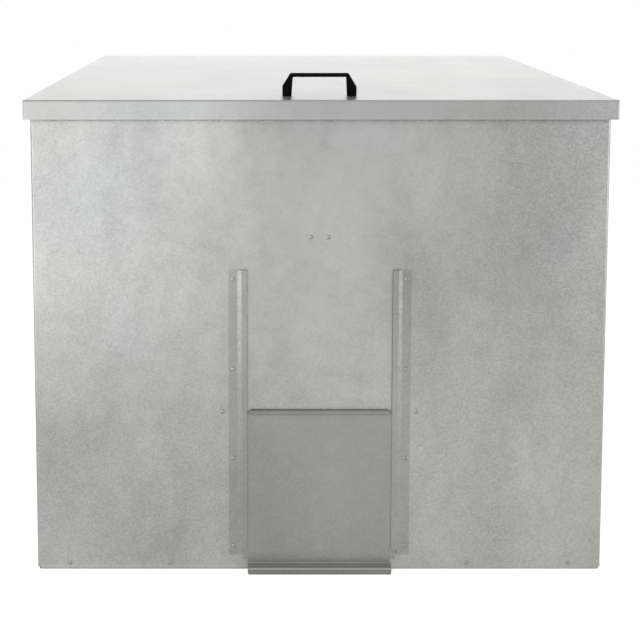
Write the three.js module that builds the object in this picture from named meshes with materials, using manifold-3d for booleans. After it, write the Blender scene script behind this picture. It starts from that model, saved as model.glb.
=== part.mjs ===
// A front-hatch coal bunker of galvanised sheet steel: a riveted box on a floor tray, a sloping pan lid
// on two butt hinges, and a lift-up hatch between folded guide rails. Millimetres, +Z up, the front
// faces -Y, and left and right are seen from the front.

import * as THREE from 'three';
import { mergeVertices } from 'three/addons/utils/BufferGeometryUtils.js';
import Module from 'manifold-3d';

const wasm = await Module();
wasm.setup();

// Driving sizes of the box
const bodyWidth = 1000;
const bodyDepth = 780;
const frontRimHeight = 831;
const rearRimHeight = 968;
const panelLift = 4;

// Sheet metal shared by the box and the lid
const sheet = 1.2;
const insideBend = 1.5;
const bendSteps = 3;
const seamLap = 25;
const rimReturn = 18;
const trayWall = 25;
const trayNotch = 7;

// Lid pan, its stiffener and its overhangs
const lidFlange = 33;
const frontOverhang = 14;
const sideOverhang = 9;
const cornerTab = 7;
const stiffenerSheet = 1.2;
const stiffenerWidth = 44;
const stiffenerFoot = 14;
const stiffenerDrop = 16;
const stiffenerEndGap = 6;

// Hatch plate with its hand lip and its foot ledge
const hatchSheet = 1.5;
const hatchClearWidth = 254;
const hatchHeight = 290;
const hatchTuck = 7.5;
const tuckStart = 20;
const tuckEnd = 12;
const lipDepth = 14;
const lipDroop = 20;
const lipClip = 6;
const ledgeDepth = 20;
const ledgeHeight = 13;
const ledgeClip = 2.5;

// Guide rails
const railLip = 9.5;
const railWeb = 7;
const railFlange = 15.5;
const railStart = 28;
const railEnd = 537;
const railLipCut = 10;
const railEndMargin = 16;
const railRivetCount = 4;

// Hatch opening, as laps of the closed plate over the front panel
const openingSideLap = 16.5;
const openingTopLap = 20;
const tongueGap = 1.5;

// Lintel angle and tie bar inside the box
const lintelSheet = 1.5;
const lintelLeg = 28;
const lintelLift = 2;
const lintelEnd = 20;
const lintelRivetOut = 11;
const tieSheet = 1.5;
const tieWidth = 46;
const tieFlange = 12;
const tieHeight = 580;
const tieFoot = 28;
const tieRivetSpan = 30.5;

// Hinges
const hingeLength = 76;
const hingeInset = 180;
const leafWidth = 25;
const leafSheet = 1.8;
const knuckleRadius = 4.5;
const knuckleCount = 5;
const pinRadius = 2.5;
const pinHeadRadius = 3.8;
const pinHeadHeight = 1.2;
const leafRivetSpan = 50;
const leafRivetOut = 15;
const roundSteps = 16;

// Blind rivets
const rivetRadius = 2;
const rivetHeadRadius = 4;
const rivetHeadHeight = 1.6;
const rivetHeadEdge = 0.4;
const rivetTailRadius = 3;
const rivetTailLength = 4.5;
const rivetSides = 8;
const rivetDomeSteps = 2;
const floorRivetHeight = 12;
const floorRivetInset = 58;
const floorRivetOut = 145;
const floorSideRivetInset = 150;

// Lid handle, its screws and washers
const handleLength = 130;
const handleHeight = 38.5;
const handleDepth = 18;
const handleSetback = 60;
const gripThickness = 5.5;
const legBase = 16;
const legInsideDraft = 2;
const legShoulder = 16;
const gripInset = 14;
const handleBevel = 1.2;
const handleBevelSteps = 2;
const screwRadius = 2.5;
const screwHeadRadius = 4.6;
const screwHeadHeight = 3;
const screwCrownShare = 0.7;
const screwReach = 14;
const washerRadius = 6;
const washerSheet = 1.2;

// Clearances, and one overrun for every cutter
const fitGap = 0.3;
const runningGap = 0.8;
const ledgeGap = 1;
const knuckleGap = 0.5;
const boreGap = 0.15;
const jointGap = 1;
const overrun = 10;

// Places worked out from the sizes above
const halfBody = bodyWidth / 2;
const halfLid = halfBody + sideOverhang;
const slope = (rearRimHeight - frontRimHeight) / bodyDepth;
const slopeAngle = Math.atan(slope);
const bendReach = sheet + insideBend;
const sideFace = halfBody - sheet;
const sideInner = sideFace - sheet;
const lidUnder = frontRimHeight + fitGap;
const lidTop = lidUnder + sheet;
const rearFlangeFoot = lidTop + slope * bodyDepth - lidFlange;
const backTop = rearFlangeFoot - jointGap;
const hingeY = bodyDepth + knuckleRadius + fitGap;
const hingeZ = rearFlangeFoot - jointGap / 2;
const rimInner = sideFace - rimReturn;
const hatchBack = -runningGap;
const hatchFront = hatchBack - hatchSheet;
const halfClear = hatchClearWidth / 2;
const halfPlate = halfClear + hatchTuck;
const halfOpening = halfPlate - openingSideLap;
const openingTop = hatchHeight - openingTopLap;
const railBack = hatchFront - runningGap;
const railOuter = halfClear + railLip + railWeb + railFlange;
const railRivetX = railOuter - railFlange / 2;
const lintelFoot = openingTop + lintelLift;
const lintelRivetX = railOuter + lintelRivetOut;
const lintelRivetZ = lintelFoot + lintelLeg / 2;
const tieRivetZ = tieHeight + tieFoot / 2;

// Unit directions and the slope of the lid, as a shear that keeps upright faces upright
const leftward = new THREE.Vector3(-1, 0, 0);
const rightward = new THREE.Vector3(1, 0, 0);
const forward = new THREE.Vector3(0, -1, 0);
const backward = new THREE.Vector3(0, 1, 0);
const upward = new THREE.Vector3(0, 0, 1);
const lidSlope = new THREE.Matrix4().set(1, 0, 0, 0, 0, 1, 0, 0, 0, slope, 1, 0, 0, 0, 0, 1);

// Solids and booleans
function solid(geometry) {
  const bare = geometry.clone();
  bare.deleteAttribute('normal');
  bare.deleteAttribute('uv');
  const merged = mergeVertices(bare);
  const vertProperties = new Float32Array(merged.attributes.position.array);
  const triVerts = new Uint32Array(merged.index.array);
  return new wasm.Manifold(new wasm.Mesh({ numProp: 3, vertProperties, triVerts }));
}

function geometryOf(manifold) {
  const { vertProperties, triVerts } = manifold.getMesh();
  const geometry = new THREE.BufferGeometry();
  geometry.setAttribute('position', new THREE.BufferAttribute(vertProperties, 3));
  geometry.setIndex(new THREE.BufferAttribute(triVerts, 1));
  const faceted = geometry.toNonIndexed();
  faceted.computeVertexNormals();
  return faceted;
}

const join = (first, ...others) => others.reduce((whole, piece) => whole.add(piece), first);
const cut = (first, ...tools) => tools.reduce((whole, tool) => whole.subtract(tool), first);

function block(fromX, toX, fromY, toY, fromZ, toZ) {
  const box = new THREE.BoxGeometry(toX - fromX, toY - fromY, toZ - fromZ);
  return solid(box.translate((fromX + toX) / 2, (fromY + toY) / 2, (fromZ + toZ) / 2));
}

// A round bar with its axis through a point
function bar(radius, length, middle, direction, sides = roundSteps) {
  const cylinder = new THREE.CylinderGeometry(radius, radius, length, sides);
  const turn = new THREE.Quaternion().setFromUnitVectors(new THREE.Vector3(0, 1, 0), direction);
  return solid(cylinder.applyQuaternion(turn).translate(middle.x, middle.y, middle.z));
}

// Outline of a folded strip whose mid-thickness follows the corners, with a round bend at each
function foldedStrip(corners, thickness) {
  const path = corners.map(([u, v]) => new THREE.Vector2(u, v));
  const midRadius = insideBend + thickness / 2;
  const left = [];
  const right = [];
  path.forEach((corner, i) => {
    const before = i > 0 ? corner.clone().sub(path[i - 1]).normalize() : null;
    const after = i < path.length - 1 ? path[i + 1].clone().sub(corner).normalize() : null;
    const heading = before ?? after;
    const normal = new THREE.Vector2(-heading.y, heading.x);
    if (!before || !after) {
      left.push(corner.clone().addScaledVector(normal, thickness / 2));
      right.push(corner.clone().addScaledVector(normal, -thickness / 2));
      return;
    }
    const turn = Math.atan2(before.cross(after), before.dot(after));
    const side = Math.sign(turn);
    const setback = midRadius * Math.tan(Math.abs(turn) / 2);
    const centre = corner.clone().addScaledVector(before, -setback).addScaledVector(normal, side * midRadius);
    const start = normal.clone().multiplyScalar(-side);
    for (let k = 0; k <= bendSteps; k += 1) {
      const radial = start.clone().rotateAround(new THREE.Vector2(), (turn * k) / bendSteps);
      left.push(centre.clone().addScaledVector(radial, midRadius - (side * thickness) / 2));
      right.push(centre.clone().addScaledVector(radial, midRadius + (side * thickness) / 2));
    }
  });
  return new THREE.Shape([...left, ...right.reverse()]);
}

const outline = (points) => new THREE.Shape(points.map(([u, v]) => new THREE.Vector2(u, v)));

// Extrusions of a flat shape along one axis: shape axes become YZ, XZ or XY
function extrude(shape, from, to, basis) {
  const geometry = new THREE.ExtrudeGeometry(shape, { depth: to - from, bevelEnabled: false });
  return geometry.translate(0, 0, from).applyMatrix4(basis);
}

function alongX(shape, from, to) {
  return solid(extrude(shape, from, to, new THREE.Matrix4().makeBasis(backward, upward, rightward)));
}

function alongY(shape, from, to) {
  return solid(extrude(shape, -to, -from, new THREE.Matrix4().makeBasis(rightward, upward, forward)));
}

function alongZ(shape, from, to) {
  return solid(extrude(shape, from, to, new THREE.Matrix4()));
}

function sloped(manifold) {
  return solid(geometryOf(manifold).applyMatrix4(lidSlope));
}

// A row of equally spaced numbers that includes both ends
function spaced(from, to, count) {
  return Array.from({ length: count }, (_, i) => from + ((to - from) * i) / (count - 1));
}

// Materials
const galvanised = new THREE.MeshStandardMaterial({ color: 0xb0b1ac, roughness: 0.45, metalness: 0.85 });
const hatchSteel = new THREE.MeshStandardMaterial({ color: 0x9b9c97, roughness: 0.5, metalness: 0.85 });
const hingeSteel = new THREE.MeshStandardMaterial({ color: 0xb9bab8, roughness: 0.35, metalness: 0.9 });
const rivetAlloy = new THREE.MeshStandardMaterial({ color: 0xa2a4a3, roughness: 0.35, metalness: 0.9 });
const blackPlastic = new THREE.MeshStandardMaterial({ color: 0x121213, roughness: 0.45, metalness: 0 });
const zincScrew = new THREE.MeshStandardMaterial({ color: 0xc3c4c0, roughness: 0.3, metalness: 0.9 });

const bunker = new THREE.Group();

function place(name, geometry, material, parent = bunker) {
  const mesh = new THREE.Mesh(geometry, material);
  mesh.name = name;
  parent.add(mesh);
  return mesh;
}

// Rivet rows: where each head seats, which way it faces and how much metal its shank goes through
const railRivetRow = (side) =>
  spaced(railStart + railEndMargin, railEnd - railEndMargin, railRivetCount).map(
    (z) => new THREE.Vector3(side * railRivetX, -sheet, z),
  );
const lintelRivetRow = [-1, 1].map((side) => new THREE.Vector3(side * lintelRivetX, 0, lintelRivetZ));
const tieRivetRow = (face) =>
  [-1, 1].map((side) => new THREE.Vector3((side * tieRivetSpan) / 2, face, tieRivetZ));
const floorRivetRow = (face) => {
  const outer = halfBody - floorRivetInset;
  const inner = halfOpening + floorRivetOut;
  return [-outer, -inner, inner, outer].map((x) => new THREE.Vector3(x, face, floorRivetHeight));
};
const floorSideRivetRow = (side) =>
  [floorSideRivetInset, bodyDepth - floorSideRivetInset].map(
    (y) => new THREE.Vector3(side * sideFace, y, floorRivetHeight),
  );
const leafRivetRow = (middleX, lift) =>
  [-1, 1].map(
    (side) => new THREE.Vector3(middleX + (side * leafRivetSpan) / 2, bodyDepth + leafSheet, hingeZ + lift),
  );

const hingeMiddles = { left: -halfBody + hingeInset, right: halfBody - hingeInset };
const sides = { left: -1, right: 1 };

function rivet(seat, facing, grip) {
  const dome = [];
  for (let k = 0; k <= rivetDomeSteps; k += 1) {
    const angle = (Math.PI / 2) * (k / rivetDomeSteps);
    const rise = rivetHeadEdge + (rivetHeadHeight - rivetHeadEdge) * Math.sin(angle);
    dome.push(new THREE.Vector2(rivetHeadRadius * Math.cos(angle), rise));
  }
  dome[rivetDomeSteps].x = 0;
  const tailTop = -grip - fitGap;
  const profile = [
    new THREE.Vector2(0, tailTop - rivetTailLength),
    new THREE.Vector2(rivetRadius, tailTop - rivetTailLength),
    new THREE.Vector2(rivetTailRadius, tailTop - rivetTailLength / 2),
    new THREE.Vector2(rivetTailRadius, tailTop),
    new THREE.Vector2(rivetRadius, tailTop),
    new THREE.Vector2(rivetRadius, 0),
    new THREE.Vector2(rivetHeadRadius, 0),
    ...dome,
  ];
  const turn = new THREE.Quaternion().setFromUnitVectors(new THREE.Vector3(0, 1, 0), facing);
  const lathe = new THREE.LatheGeometry(profile, rivetSides).applyQuaternion(turn);
  return solid(lathe.translate(seat.x, seat.y, seat.z));
}

function placeRivets(name, seats, facing, grip) {
  seats.forEach((seat, i) => place(`${name}_${i + 1}`, geometryOf(rivet(seat, facing, grip)), rivetAlloy));
}

const rivetHoles = (seats, facing) =>
  seats.map((seat) => bar(rivetRadius + fitGap, overrun * 2, seat, facing, rivetSides));

// Everything below a height, as a cutter for the foot of a panel
function below(height) {
  return block(-bodyWidth, bodyWidth, -bodyDepth, bodyDepth * 2, -bodyWidth - bodyDepth, height);
}

// Front panel: one sheet with a corner lap folded back at each side, a sloping rim return and the hatch
// opening cut up from its foot
function frontPanel() {
  const wallX = halfBody - sheet / 2;
  const wallY = sheet / 2;
  const plan = foldedStrip([[-wallX, seamLap], [-wallX, wallY], [wallX, wallY], [wallX, seamLap]], sheet);
  const wall = sloped(alongZ(plan, -overrun, frontRimHeight - bendReach));
  const rimLine = frontRimHeight - sheet / 2;
  const rim = foldedStrip([[wallY, rimLine - rimReturn], [wallY, rimLine], [rimReturn, rimLine]], sheet);
  const rimHalf = rimInner - jointGap;
  return cut(
    join(wall, sloped(alongX(rim, -rimHalf, rimHalf))),
    below(panelLift),
    block(-halfOpening, halfOpening, -overrun, overrun, -overrun, openingTop),
    ...rivetHoles([...railRivetRow(-1), ...railRivetRow(1), ...lintelRivetRow], backward),
    ...rivetHoles([...tieRivetRow(0), ...floorRivetRow(0)], backward),
  );
}

// Back panel: the same sheet without an opening, ending below the lid's rear flange
function backPanel() {
  const wallX = halfBody - sheet / 2;
  const wallY = bodyDepth - sheet / 2;
  const lapY = bodyDepth - seamLap;
  const plan = foldedStrip([[-wallX, lapY], [-wallX, wallY], [wallX, wallY], [wallX, lapY]], sheet);
  const rimLine = backTop - sheet / 2;
  const rim = foldedStrip(
    [[wallY, rimLine - rimReturn], [wallY, rimLine], [bodyDepth - rimReturn, rimLine]],
    sheet,
  );
  const rimHalf = sideInner - fitGap;
  const leafRows = Object.values(hingeMiddles).flatMap((middleX) => leafRivetRow(middleX, -leafRivetOut));
  return cut(
    join(alongZ(plan, panelLift, backTop - bendReach), alongX(rim, -rimHalf, rimHalf)),
    ...rivetHoles([...tieRivetRow(bodyDepth), ...floorRivetRow(bodyDepth), ...leafRows], backward),
  );
}

// Side panel: a flat sheet inside the corner laps, its sloping top edge folded inwards as the rim
function sidePanel(side) {
  const wallX = side * (sideFace - sheet / 2);
  const rimLine = frontRimHeight - sheet / 2;
  const section = foldedStrip([[wallX, -bodyDepth], [wallX, rimLine], [side * rimInner, rimLine]], sheet);
  return cut(
    sloped(alongY(section, bendReach, bodyDepth - bendReach)),
    below(panelLift),
    ...rivetHoles(floorSideRivetRow(side), rightward),
  );
}

// Floor tray: a sheet with four walls folded up inside the panels, open at the hatch, where a tongue runs
// out to the front face
function floorTray() {
  const wallX = sideInner - sheet / 2;
  const frontY = sheet + sheet / 2;
  const backY = bodyDepth - frontY;
  const across = foldedStrip(
    [[-wallX, trayWall], [-wallX, sheet / 2], [wallX, sheet / 2], [wallX, trayWall]],
    sheet,
  );
  const lengthwise = foldedStrip(
    [[frontY, trayWall], [frontY, sheet / 2], [backY, sheet / 2], [backY, trayWall]],
    sheet,
  );
  const frontFold = sheet + bendReach;
  const flatHalf = sideInner - bendReach;
  const tray = join(
    alongY(across, frontFold, bodyDepth - frontFold),
    alongX(lengthwise, -flatHalf, flatHalf),
  );
  const notchHalf = halfOpening + trayNotch;
  const tongueHalf = halfOpening - tongueGap;
  const notched = cut(tray, block(-notchHalf, notchHalf, -overrun, frontFold, -overrun, trayWall + overrun));
  return cut(
    join(notched, block(-tongueHalf, tongueHalf, 0, frontFold + overrun, 0, sheet)),
    ...rivetHoles([...floorRivetRow(0), ...floorRivetRow(bodyDepth)], backward),
    ...rivetHoles([...floorSideRivetRow(-1), ...floorSideRivetRow(1)], rightward),
  );
}

// Lintel: an angle that stiffens the front panel above the opening
function lintel() {
  const legY = sheet + lintelSheet / 2;
  const topZ = lintelFoot + lintelLeg - lintelSheet / 2;
  const section = foldedStrip([[legY, lintelFoot], [legY, topZ], [sheet + lintelLeg, topZ]], lintelSheet);
  const half = lintelRivetX + lintelEnd;
  return cut(alongX(section, -half, half), ...rivetHoles(lintelRivetRow, backward));
}

// Tie bar: a channel from front to back that keeps the panels from bulging, with a riveted foot at each end
function tieBar() {
  const half = tieWidth / 2;
  const wallX = half - tieSheet / 2;
  const webZ = tieHeight - tieSheet / 2;
  const footTop = tieHeight + tieFoot;
  const section = foldedStrip(
    [[-wallX, webZ - tieFlange], [-wallX, webZ], [wallX, webZ], [wallX, webZ - tieFlange]],
    tieSheet,
  );
  const backInner = bodyDepth - sheet;
  const channel = alongY(section, sheet, backInner);
  const inset = half - bendReach;
  const feet = [
    block(-inset, inset, sheet, sheet + tieSheet, webZ, footTop),
    block(-inset, inset, backInner - tieSheet, backInner, webZ, footTop),
  ];
  return cut(
    join(channel, ...feet),
    ...rivetHoles([...tieRivetRow(0), ...tieRivetRow(bodyDepth)], backward),
  );
}

// Guide rail: a joggled strip riveted to the front panel, its raised lip holding the hatch plate's edge
function guideRail(side) {
  const lipY = railBack - sheet / 2;
  const lipEnd = halfClear + railLip;
  const section = foldedStrip(
    [
      [side * halfClear, lipY],
      [side * lipEnd, lipY],
      [side * (lipEnd + railWeb), -sheet / 2],
      [side * railOuter, -sheet / 2],
    ],
    sheet,
  );
  const lipCut = [side * (halfClear - overrun), side * lipEnd].sort((a, b) => a - b);
  return cut(
    alongZ(section, railStart, railEnd),
    block(...lipCut, railBack - overrun, 0, railStart - overrun, railStart + railLipCut),
    ...rivetHoles(railRivetRow(side), backward),
  );
}

// Hatch plate: one sheet with its edges behind the rail lips, a hand lip folded forward at the top and a
// foot ledge at the bottom, folded forward, down, back and up again into a box that keeps the coal in
function hatchPlate() {
  const midY = hatchFront + hatchSheet / 2;
  const ledgeY = midY - ledgeDepth;
  const ledgeZ = ledgeHeight - hatchSheet / 2;
  const footZ = hatchSheet / 2;
  const returnTop = ledgeZ - hatchSheet / 2 - jointGap;
  const droop = THREE.MathUtils.degToRad(lipDroop);
  const lipTip = [midY - lipDepth * Math.cos(droop), hatchHeight - lipDepth * Math.sin(droop)];
  const foot = [[midY, returnTop], [midY, footZ], [ledgeY, footZ], [ledgeY, ledgeZ], [midY, ledgeZ]];
  const section = foldedStrip([...foot, [midY, hatchHeight], lipTip], hatchSheet);
  const half = halfClear - ledgeGap;
  const shoulder = hatchHeight - tuckEnd;
  const wide = outline([
    [-halfPlate, tuckStart],
    [halfPlate, tuckStart],
    [halfPlate, shoulder],
    [halfClear, shoulder + hatchTuck],
    [-halfClear, shoulder + hatchTuck],
    [-halfPlate, shoulder],
  ]);
  const plate = join(alongX(section, -half, half), alongY(wide, hatchFront, hatchBack));
  const lipFront = midY - lipDepth - hatchSheet;
  const ledgeFront = ledgeY - hatchSheet;
  const clips = [-1, 1].flatMap((side) => {
    const end = side * (half + overrun);
    const lipCorner = outline([
      [side * half - side * lipClip, lipFront],
      [end, lipFront],
      [end, lipFront + lipClip + overrun],
    ]);
    const ledgeCorner = outline([
      [side * half - side * ledgeClip, 0],
      [side * half - side * ledgeClip, -overrun],
      [end, -overrun],
      [end, ledgeClip + overrun],
    ]);
    return [
      alongZ(lipCorner, hatchHeight - lipDepth, hatchHeight + overrun),
      alongY(ledgeCorner, ledgeFront, 0),
    ];
  });
  return cut(plate, ...clips);
}

// Lid panel: a pan folded from one sheet, with upright flanges and a tab round each corner
function lidPanel() {
  const frontY = sheet / 2 - frontOverhang;
  const backY = bodyDepth - sheet / 2;
  const sideX = halfLid - sheet / 2;
  const topLine = lidTop - sheet / 2;
  const foot = lidTop - lidFlange;
  const lengthwise = foldedStrip([[frontY, foot], [frontY, topLine], [backY, topLine], [backY, foot]], sheet);
  const across = foldedStrip([[-sideX, foot], [-sideX, topLine], [sideX, topLine], [sideX, foot]], sheet);
  const frontFold = bendReach - frontOverhang;
  const backFold = bodyDepth - bendReach;
  const flatHalf = halfLid - bendReach;
  const tabs = [-1, 1].flatMap((side) => {
    const tabX = side * (sideX - cornerTab);
    const frontTab = foldedStrip(
      [[side * sideX, frontFold + cornerTab], [side * sideX, frontY + sheet], [tabX, frontY + sheet]],
      sheet,
    );
    const backTab = foldedStrip(
      [[side * sideX, backFold - cornerTab], [side * sideX, backY - sheet], [tabX, backY - sheet]],
      sheet,
    );
    return [alongZ(frontTab, foot, lidTop - bendReach), alongZ(backTab, foot, lidTop - bendReach)];
  });
  const pan = join(
    alongX(lengthwise, -flatHalf, flatHalf),
    alongY(across, frontFold, backFold),
    ...tabs,
  );
  const leafRows = Object.values(hingeMiddles).flatMap((middleX) => leafRivetRow(middleX, leafRivetOut));
  return cut(sloped(pan), ...rivetHoles(leafRows, backward), ...screwHoles());
}

// Lid stiffener: a top-hat strip spot-welded across the underside, between the side rims
function lidStiffener() {
  const midY = (bodyDepth - frontOverhang) / 2;
  const footZ = lidUnder - fitGap - stiffenerSheet / 2;
  const half = stiffenerWidth / 2;
  const section = foldedStrip(
    [
      [midY - half - stiffenerFoot, footZ],
      [midY - half, footZ],
      [midY - half, footZ - stiffenerDrop],
      [midY + half, footZ - stiffenerDrop],
      [midY + half, footZ],
      [midY + half + stiffenerFoot, footZ],
    ],
    stiffenerSheet,
  );
  const end = rimInner - stiffenerEndGap;
  return sloped(alongX(section, -end, end));
}

// Handle frame: its origin is on the lid's top, square to the slope
const handleY = handleSetback - frontOverhang;
const handleFrame = new THREE.Group();
handleFrame.position.set(0, handleY, lidTop + slope * handleY + fitGap);
handleFrame.rotation.x = slopeAngle;
handleFrame.updateMatrix();
const legMiddle = (handleLength - legBase) / 2;
const screwLine = [-legMiddle, legMiddle];
const washerTop = -fitGap - sheet - fitGap;
const screwSeat = washerTop - washerSheet - fitGap;

function screwHoles() {
  return screwLine.map((x) => {
    const middle = new THREE.Vector3(x, 0, 0);
    const tool = geometryOf(bar(screwRadius + fitGap, overrun * 2, middle, upward, roundSteps));
    return solid(tool.applyMatrix4(handleFrame.matrix));
  });
}

// Lid handle: a moulded bridge with chamfered shoulders and a blind screw hole in each leg
function lidHandle() {
  const half = handleLength / 2 - handleBevel;
  const top = handleHeight - handleBevel;
  const shoulderX = handleLength / 2 - gripInset;
  const legInner = handleLength / 2 - legBase + handleBevel;
  const gripUnder = handleHeight - gripThickness + handleBevel;
  const profile = outline([
    [-half, handleBevel],
    [-legInner, handleBevel],
    [-legInner + legInsideDraft, gripUnder],
    [legInner - legInsideDraft, gripUnder],
    [legInner, handleBevel],
    [half, handleBevel],
    [half, legShoulder],
    [shoulderX, top],
    [-shoulderX, top],
    [-half, legShoulder],
  ]);
  const depth = handleDepth - handleBevel * 2;
  const bridge = new THREE.ExtrudeGeometry(profile, {
    depth,
    bevelEnabled: true,
    bevelThickness: handleBevel,
    bevelSize: handleBevel,
    bevelSegments: handleBevelSteps,
  });
  bridge.translate(0, 0, -depth / 2).applyMatrix4(new THREE.Matrix4().makeBasis(rightward, upward, forward));
  const holeLength = (screwReach + fitGap) * 2;
  const hole = bar(screwRadius + fitGap, holeLength, new THREE.Vector3(), upward);
  const holes = screwLine.map((x) => hole.translate([x, 0, 0]));
  return cut(solid(bridge), ...holes);
}

function turned(profile, middle, direction) {
  const points = profile.map(([radius, height]) => new THREE.Vector2(radius, height));
  const turn = new THREE.Quaternion().setFromUnitVectors(new THREE.Vector3(0, 1, 0), direction);
  const lathe = new THREE.LatheGeometry(points, roundSteps).applyQuaternion(turn);
  return solid(lathe.translate(middle.x, middle.y, middle.z));
}

function handleScrew(x) {
  const profile = [
    [0, screwSeat - screwHeadHeight],
    [screwHeadRadius * screwCrownShare, screwSeat - screwHeadHeight],
    [screwHeadRadius, screwSeat - screwHeadHeight / 2],
    [screwHeadRadius, screwSeat],
    [screwRadius, screwSeat],
    [screwRadius, screwReach],
    [0, screwReach],
  ];
  return turned(profile, new THREE.Vector3(x, 0, 0), upward);
}

function handleWasher(x) {
  const bore = screwRadius + fitGap;
  const profile = [
    [bore, washerTop],
    [bore, washerTop - washerSheet],
    [washerRadius, washerTop - washerSheet],
    [washerRadius, washerTop],
    [bore, washerTop],
  ];
  return turned(profile, new THREE.Vector3(x, 0, 0), upward);
}

// Hinge leaf: a plate and its share of the knuckles; lift is 1 for the lid's leaf and -1 for the body's
function hingeLeaf(middleX, lift) {
  const from = middleX - hingeLength / 2;
  const to = middleX + hingeLength / 2;
  const middle = new THREE.Vector3(middleX, hingeY, hingeZ);
  const edge = hingeZ + lift * leafWidth;
  const [foot, top] = [edge, hingeZ].sort((a, b) => a - b);
  const plate = block(from, to, bodyDepth, bodyDepth + leafSheet, foot, top);
  const barrel = bar(knuckleRadius, hingeLength, middle, rightward);
  const knuckle = hingeLength / knuckleCount;
  const reach = knuckleRadius + knuckleGap;
  const foreign = lift > 0 ? 0 : 1;
  const gaps = [];
  for (let k = foreign; k < knuckleCount; k += 2) {
    const start = k === 0 ? from - overrun : from + k * knuckle - knuckleGap / 2;
    const end = k === knuckleCount - 1 ? to + overrun : from + (k + 1) * knuckle + knuckleGap / 2;
    gaps.push(block(start, end, hingeY - reach, hingeY + reach, hingeZ - reach, hingeZ + reach));
  }
  return cut(
    join(plate, barrel),
    bar(pinRadius + boreGap, hingeLength + overrun * 2, middle, rightward),
    ...gaps,
    ...rivetHoles(leafRivetRow(middleX, lift * leafRivetOut), backward),
  );
}

function hingePin(middleX) {
  const headSeat = hingeLength / 2 + fitGap;
  const headEnd = headSeat + pinHeadHeight;
  const profile = [
    [0, -headEnd],
    [pinRadius, -headEnd],
    [pinHeadRadius, -headSeat - pinHeadHeight / 2],
    [pinHeadRadius, -headSeat],
    [pinRadius, -headSeat],
    [pinRadius, headSeat],
    [pinHeadRadius, headSeat],
    [pinHeadRadius, headSeat + pinHeadHeight / 2],
    [pinRadius, headEnd],
    [0, headEnd],
  ];
  return turned(profile, new THREE.Vector3(middleX, hingeY, hingeZ), rightward);
}

// The box
place('front_panel', geometryOf(frontPanel()), galvanised);
place('back_panel', geometryOf(backPanel()), galvanised);
place('floor_tray', geometryOf(floorTray()), galvanised);
place('hatch_lintel', geometryOf(lintel()), galvanised);
place('tie_bar', geometryOf(tieBar()), galvanised);
for (const [name, side] of Object.entries(sides)) {
  place(`${name}_side_panel`, geometryOf(sidePanel(side)), galvanised);
  place(`${name}_guide_rail`, geometryOf(guideRail(side)), galvanised);
}

// The lid, its handle and the hatch
place('lid_panel', geometryOf(lidPanel()), galvanised);
place('lid_stiffener', geometryOf(lidStiffener()), galvanised);
place('hatch_plate', geometryOf(hatchPlate()), hatchSteel);
bunker.add(handleFrame);
place('lid_handle', geometryOf(lidHandle()), blackPlastic, handleFrame);
for (const [name, side] of Object.entries(sides)) {
  place(`${name}_handle_screw`, geometryOf(handleScrew(side * legMiddle)), zincScrew, handleFrame);
  place(`${name}_handle_washer`, geometryOf(handleWasher(side * legMiddle)), zincScrew, handleFrame);
}

// Hinges and their rivets
const leafGrip = leafSheet + sheet;
for (const [name, middleX] of Object.entries(hingeMiddles)) {
  place(`${name}_hinge_body_leaf`, geometryOf(hingeLeaf(middleX, -1)), hingeSteel);
  place(`${name}_hinge_lid_leaf`, geometryOf(hingeLeaf(middleX, 1)), hingeSteel);
  place(`${name}_hinge_pin`, geometryOf(hingePin(middleX)), hingeSteel);
  placeRivets(`${name}_hinge_body_rivet`, leafRivetRow(middleX, -leafRivetOut), backward, leafGrip);
  placeRivets(`${name}_hinge_lid_rivet`, leafRivetRow(middleX, leafRivetOut), backward, leafGrip);
}

// Rivets of the box
const lapGrip = sheet * 2;
placeRivets('lintel_rivet', lintelRivetRow, forward, sheet + lintelSheet);
placeRivets('tie_front_rivet', tieRivetRow(0), forward, sheet + tieSheet);
placeRivets('tie_rear_rivet', tieRivetRow(bodyDepth), backward, sheet + tieSheet);
placeRivets('floor_front_rivet', floorRivetRow(0), forward, lapGrip);
placeRivets('floor_rear_rivet', floorRivetRow(bodyDepth), backward, lapGrip);
for (const [name, side] of Object.entries(sides)) {
  const facing = side < 0 ? leftward : rightward;
  placeRivets(`${name}_rail_rivet`, railRivetRow(side), forward, lapGrip);
  placeRivets(`${name}_floor_rivet`, floorSideRivetRow(side), facing, lapGrip);
}

// The origin is under the middle of the whole bunker
const extent = new THREE.Box3().setFromObject(bunker);
const middle = extent.getCenter(new THREE.Vector3());
bunker.position.set(-middle.x, -middle.y, -extent.min.z);

export default bunker;
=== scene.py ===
"""Looks of a front-hatch coal bunker of galvanised sheet steel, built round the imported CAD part.

Lengths are in millimetres measured from the front panel's outer face (y), the middle (x) and the ground
(z), and go to metres in the CAD part's frame when a mesh is made.
"""

import math

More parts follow.
